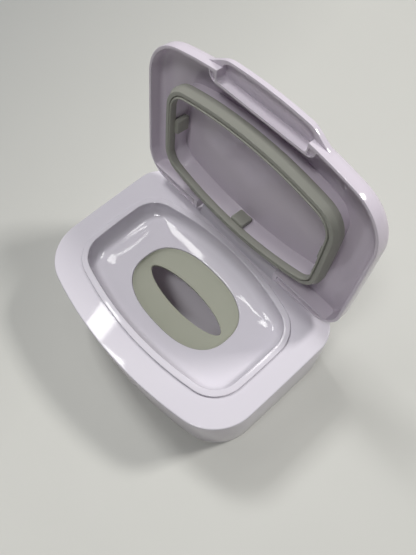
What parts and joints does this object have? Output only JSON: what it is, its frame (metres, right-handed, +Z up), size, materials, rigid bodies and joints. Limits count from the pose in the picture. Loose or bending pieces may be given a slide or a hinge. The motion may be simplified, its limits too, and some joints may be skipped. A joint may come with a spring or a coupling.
{
  "type": "wipes dispenser",
  "caption": "Bowed rectangular tub with a lift-off dished cover, a soft slotted funnel in its oval opening, and a hinged domed lid with a finger tab and a soft seal.",
  "frame": {"origin": "on the table under the middle of the body, at the bottoms of the feet", "axes": "+X to the right end, +Y to the hinge side, +Z up; the lid is open at rest"},
  "size_m": [0.19, 0.1474, 0.2],
  "materials": {
    "shell": "gloss",
    "soft": "satin",
    "pin": "satin",
    "foot": "matte"
  },
  "bodies": {
    "base": {"container": "shell", "foot_front_left": "foot", "foot_front_right": "foot", "foot_back_left": "foot", "foot_back_right": "foot"},
    "cover": {"cover": "shell", "dispensing_insert": "soft", "hinge_pin_left": "pin", "hinge_pin_right": "pin"},
    "lid": {"lid": "shell", "lid_seal": "soft"}
  },
  "joints": [
    {"name": "cover_lift", "type": "slide", "parent": "base", "child": "cover", "axis": [0, 0, 1], "range_m": [0, 0.045]},
    {"name": "lid_hinge", "type": "hinge", "parent": "cover", "child": "lid", "pos_m": [0, 0.05975, 0.0729], "axis": [1, 0, 0], "range_deg": [0, 99.7]}
  ]
}
